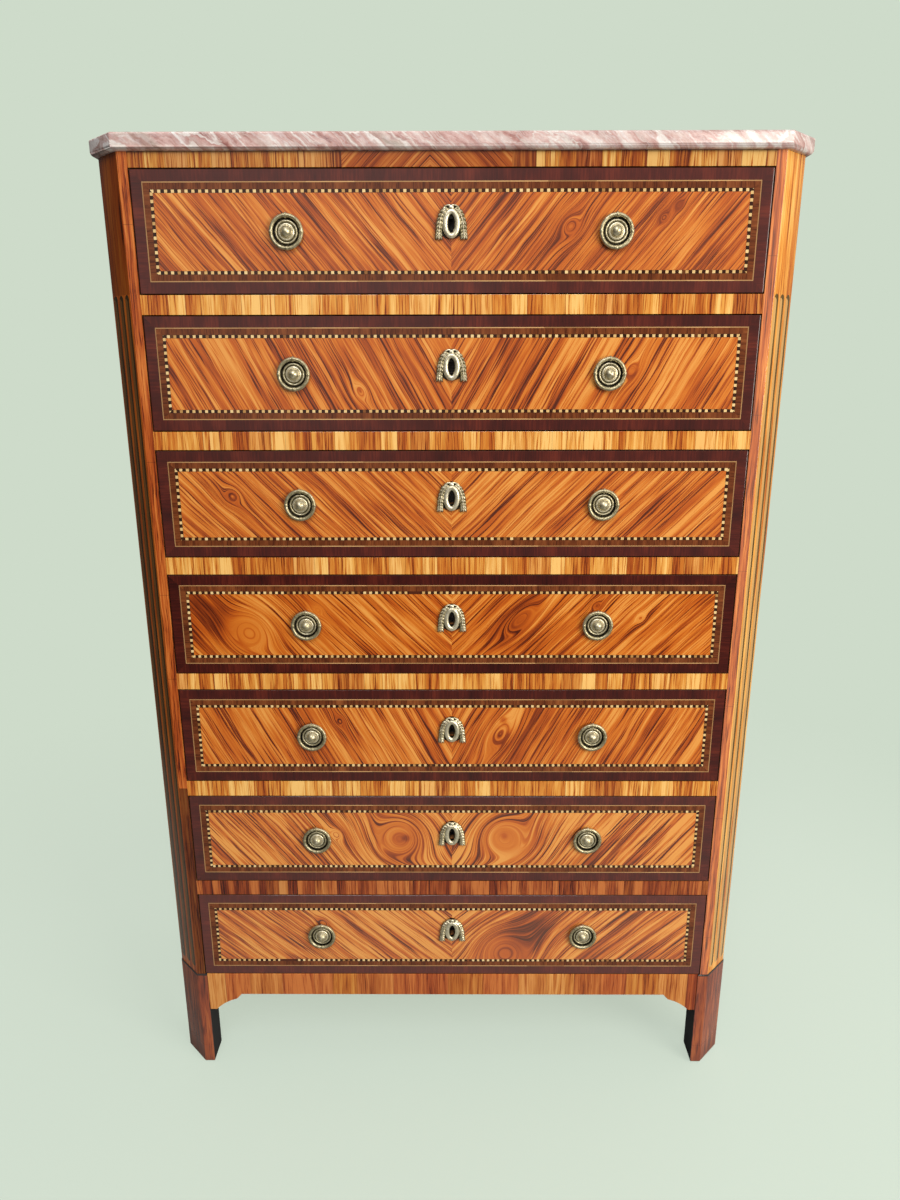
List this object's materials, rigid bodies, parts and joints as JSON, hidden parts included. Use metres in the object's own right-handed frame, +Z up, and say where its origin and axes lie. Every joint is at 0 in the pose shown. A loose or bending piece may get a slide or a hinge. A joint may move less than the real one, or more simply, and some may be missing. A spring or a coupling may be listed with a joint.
{
  "type": "semainier",
  "caption": "Tall chest of drawers with canted corners, veneered drawer fronts with ring pulls and locks, bracket feet and a marble top.",
  "frame": {"origin": "on the floor, under the middle of the whole chest", "axes": "+Z up, front towards -Y, +X to the right of a viewer who faces the front"},
  "size_m": [0.9138, 0.402, 1.3972],
  "materials": {
    "marble": "polished pink and red breccia with white and cream veins",
    "show_veneer": "French-polished tulipwood veneer with amaranth banding and chequer stringing",
    "carcass_oak": "plain planed oak, waxed by use",
    "gilt_brass": "aged gilt brass with a greenish tone",
    "lock_iron": "dull filed steel"
  },
  "bodies": {
    "carcass": {"marble_top": "marble", "top_board": "carcass_oak", "bottom_board": "carcass_oak", "back_boards": "carcass_oak", "frieze_rail": "show_veneer", "drawer_rails": "show_veneer", "front_apron": "show_veneer", "front_post_left": "show_veneer", "front_post_right": "show_veneer", "front_foot_left": "show_veneer", "front_foot_right": "show_veneer", "rear_post_left": "show_veneer", "rear_post_right": "show_veneer", "side_panel_left": "show_veneer", "side_panel_right": "show_veneer", "drawer_runners": "carcass_oak", "drawer_guides": "carcass_oak", "drawer_stops": "carcass_oak"},
    "drawer_1": {"drawer_1_front": "show_veneer", "drawer_1_box": "carcass_oak", "drawer_1_fittings": "gilt_brass"},
    "drawer_1_bolt": {"drawer_1_bolt": "lock_iron"},
    "drawer_1_ring_left": {"drawer_1_ring_left": "gilt_brass"},
    "drawer_1_ring_right": {"drawer_1_ring_right": "gilt_brass"},
    "drawer_2": {"drawer_2_front": "show_veneer", "drawer_2_box": "carcass_oak", "drawer_2_fittings": "gilt_brass"},
    "drawer_2_bolt": {"drawer_2_bolt": "lock_iron"},
    "drawer_2_ring_left": {"drawer_2_ring_left": "gilt_brass"},
    "drawer_2_ring_right": {"drawer_2_ring_right": "gilt_brass"},
    "drawer_3": {"drawer_3_front": "show_veneer", "drawer_3_box": "carcass_oak", "drawer_3_fittings": "gilt_brass"},
    "drawer_3_bolt": {"drawer_3_bolt": "lock_iron"},
    "drawer_3_ring_left": {"drawer_3_ring_left": "gilt_brass"},
    "drawer_3_ring_right": {"drawer_3_ring_right": "gilt_brass"},
    "drawer_4": {"drawer_4_front": "show_veneer", "drawer_4_box": "carcass_oak", "drawer_4_fittings": "gilt_brass"},
    "drawer_4_bolt": {"drawer_4_bolt": "lock_iron"},
    "drawer_4_ring_left": {"drawer_4_ring_left": "gilt_brass"},
    "drawer_4_ring_right": {"drawer_4_ring_right": "gilt_brass"},
    "drawer_5": {"drawer_5_front": "show_veneer", "drawer_5_box": "carcass_oak", "drawer_5_fittings": "gilt_brass"},
    "drawer_5_bolt": {"drawer_5_bolt": "lock_iron"},
    "drawer_5_ring_left": {"drawer_5_ring_left": "gilt_brass"},
    "drawer_5_ring_right": {"drawer_5_ring_right": "gilt_brass"},
    "drawer_6": {"drawer_6_front": "show_veneer", "drawer_6_box": "carcass_oak", "drawer_6_fittings": "gilt_brass"},
    "drawer_6_bolt": {"drawer_6_bolt": "lock_iron"},
    "drawer_6_ring_left": {"drawer_6_ring_left": "gilt_brass"},
    "drawer_6_ring_right": {"drawer_6_ring_right": "gilt_brass"},
    "drawer_7": {"drawer_7_front": "show_veneer", "drawer_7_box": "carcass_oak", "drawer_7_fittings": "gilt_brass"},
    "drawer_7_bolt": {"drawer_7_bolt": "lock_iron"},
    "drawer_7_ring_left": {"drawer_7_ring_left": "gilt_brass"},
    "drawer_7_ring_right": {"drawer_7_ring_right": "gilt_brass"}
  },
  "joints": [
    {"name": "drawer_1_slide", "type": "slide", "parent": "carcass", "child": "drawer_1", "axis": [0, -1, 0], "range_m": [0, 0.28]},
    {"name": "drawer_1_bolt_throw", "type": "slide", "parent": "drawer_1", "child": "drawer_1_bolt", "axis": [0, 0, 1], "range_m": [0, 0.008]},
    {"name": "drawer_1_ring_left_swing", "type": "hinge", "parent": "drawer_1", "child": "drawer_1_ring_left", "pos_m": [-0.207, -0.1935, 1.3039], "axis": [-1, 0, 0], "range_deg": [0, 90]},
    {"name": "drawer_1_ring_right_swing", "type": "hinge", "parent": "drawer_1", "child": "drawer_1_ring_right", "pos_m": [0.207, -0.1935, 1.3039], "axis": [-1, 0, 0], "range_deg": [0, 90]},
    {"name": "drawer_2_slide", "type": "slide", "parent": "carcass", "child": "drawer_2", "axis": [0, -1, 0], "range_m": [0, 0.28]},
    {"name": "drawer_2_bolt_throw", "type": "slide", "parent": "drawer_2", "child": "drawer_2_bolt", "axis": [0, 0, 1], "range_m": [0, 0.008]},
    {"name": "drawer_2_ring_left_swing", "type": "hinge", "parent": "drawer_2", "child": "drawer_2_ring_left", "pos_m": [-0.207, -0.1935, 1.1312], "axis": [-1, 0, 0], "range_deg": [0, 90]},
    {"name": "drawer_2_ring_right_swing", "type": "hinge", "parent": "drawer_2", "child": "drawer_2_ring_right", "pos_m": [0.207, -0.1935, 1.1312], "axis": [-1, 0, 0], "range_deg": [0, 90]},
    {"name": "drawer_3_slide", "type": "slide", "parent": "carcass", "child": "drawer_3", "axis": [0, -1, 0], "range_m": [0, 0.28]},
    {"name": "drawer_3_bolt_throw", "type": "slide", "parent": "drawer_3", "child": "drawer_3_bolt", "axis": [0, 0, 1], "range_m": [0, 0.008]},
    {"name": "drawer_3_ring_left_swing", "type": "hinge", "parent": "drawer_3", "child": "drawer_3_ring_left", "pos_m": [-0.207, -0.1935, 0.9585], "axis": [-1, 0, 0], "range_deg": [0, 90]},
    {"name": "drawer_3_ring_right_swing", "type": "hinge", "parent": "drawer_3", "child": "drawer_3_ring_right", "pos_m": [0.207, -0.1935, 0.9585], "axis": [-1, 0, 0], "range_deg": [0, 90]},
    {"name": "drawer_4_slide", "type": "slide", "parent": "carcass", "child": "drawer_4", "axis": [0, -1, 0], "range_m": [0, 0.28]},
    {"name": "drawer_4_bolt_throw", "type": "slide", "parent": "drawer_4", "child": "drawer_4_bolt", "axis": [0, 0, 1], "range_m": [0, 0.008]},
    {"name": "drawer_4_ring_left_swing", "type": "hinge", "parent": "drawer_4", "child": "drawer_4_ring_left", "pos_m": [-0.207, -0.1935, 0.7858], "axis": [-1, 0, 0], "range_deg": [0, 90]},
    {"name": "drawer_4_ring_right_swing", "type": "hinge", "parent": "drawer_4", "child": "drawer_4_ring_right", "pos_m": [0.207, -0.1935, 0.7858], "axis": [-1, 0, 0], "range_deg": [0, 90]},
    {"name": "drawer_5_slide", "type": "slide", "parent": "carcass", "child": "drawer_5", "axis": [0, -1, 0], "range_m": [0, 0.28]},
    {"name": "drawer_5_bolt_throw", "type": "slide", "parent": "drawer_5", "child": "drawer_5_bolt", "axis": [0, 0, 1], "range_m": [0, 0.008]},
    {"name": "drawer_5_ring_left_swing", "type": "hinge", "parent": "drawer_5", "child": "drawer_5_ring_left", "pos_m": [-0.207, -0.1935, 0.6131], "axis": [-1, 0, 0], "range_deg": [0, 90]},
    {"name": "drawer_5_ring_right_swing", "type": "hinge", "parent": "drawer_5", "child": "drawer_5_ring_right", "pos_m": [0.207, -0.1935, 0.6131], "axis": [-1, 0, 0], "range_deg": [0, 90]},
    {"name": "drawer_6_slide", "type": "slide", "parent": "carcass", "child": "drawer_6", "axis": [0, -1, 0], "range_m": [0, 0.28]},
    {"name": "drawer_6_bolt_throw", "type": "slide", "parent": "drawer_6", "child": "drawer_6_bolt", "axis": [0, 0, 1], "range_m": [0, 0.008]},
    {"name": "drawer_6_ring_left_swing", "type": "hinge", "parent": "drawer_6", "child": "drawer_6_ring_left", "pos_m": [-0.207, -0.1935, 0.4404], "axis": [-1, 0, 0], "range_deg": [0, 90]},
    {"name": "drawer_6_ring_right_swing", "type": "hinge", "parent": "drawer_6", "child": "drawer_6_ring_right", "pos_m": [0.207, -0.1935, 0.4404], "axis": [-1, 0, 0], "range_deg": [0, 90]},
    {"name": "drawer_7_slide", "type": "slide", "parent": "carcass", "child": "drawer_7", "axis": [0, -1, 0], "range_m": [0, 0.28]},
    {"name": "drawer_7_bolt_throw", "type": "slide", "parent": "drawer_7", "child": "drawer_7_bolt", "axis": [0, 0, 1], "range_m": [0, 0.008]},
    {"name": "drawer_7_ring_left_swing", "type": "hinge", "parent": "drawer_7", "child": "drawer_7_ring_left", "pos_m": [-0.207, -0.1935, 0.2677], "axis": [-1, 0, 0], "range_deg": [0, 90]},
    {"name": "drawer_7_ring_right_swing", "type": "hinge", "parent": "drawer_7", "child": "drawer_7_ring_right", "pos_m": [0.207, -0.1935, 0.2677], "axis": [-1, 0, 0], "range_deg": [0, 90]}
  ]
}
